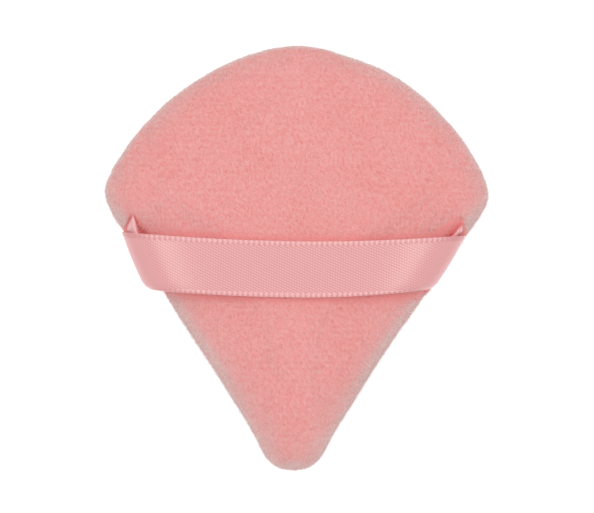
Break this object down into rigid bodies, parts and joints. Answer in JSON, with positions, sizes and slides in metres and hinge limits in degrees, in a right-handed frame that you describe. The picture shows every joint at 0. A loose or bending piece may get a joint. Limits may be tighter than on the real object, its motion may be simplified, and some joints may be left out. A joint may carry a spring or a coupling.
{
  "type": "powder puff",
  "caption": "Fan-shaped velour powder puff with a foam core and a satin ribbon strap across one face for the fingers.",
  "frame": {"origin": "centre of the pad's outline, on the surface that the powder side rests on", "axes": "+Y from the tip to the crown of the fan, +Z out of the strap side, +X to the right seen from the strap side"},
  "size_m": [0.07, 0.0776, 0.0157],
  "materials": {
    "velour": "short cut pile",
    "foam": "open-cell foam",
    "satin_ribbon": "satin weave",
    "sewing_thread": "twisted thread"
  },
  "bodies": {
    "pad": {"strap_side_cover": "velour", "powder_side_cover": "velour", "foam_core": "foam", "finger_strap_right_tail": "satin_ribbon", "finger_strap_left_tail": "satin_ribbon", "seam_needle_thread": "sewing_thread", "seam_bobbin_thread": "sewing_thread", "closing_stitch": "sewing_thread"},
    "strap": {"finger_strap_span": "satin_ribbon"}
  },
  "joints": [
    {"name": "strap_lift", "type": "slide", "parent": "pad", "child": "strap", "axis": [0, 0, 1], "range_m": [0, 0.01], "stiffness_N_per_m": 20}
  ]
}
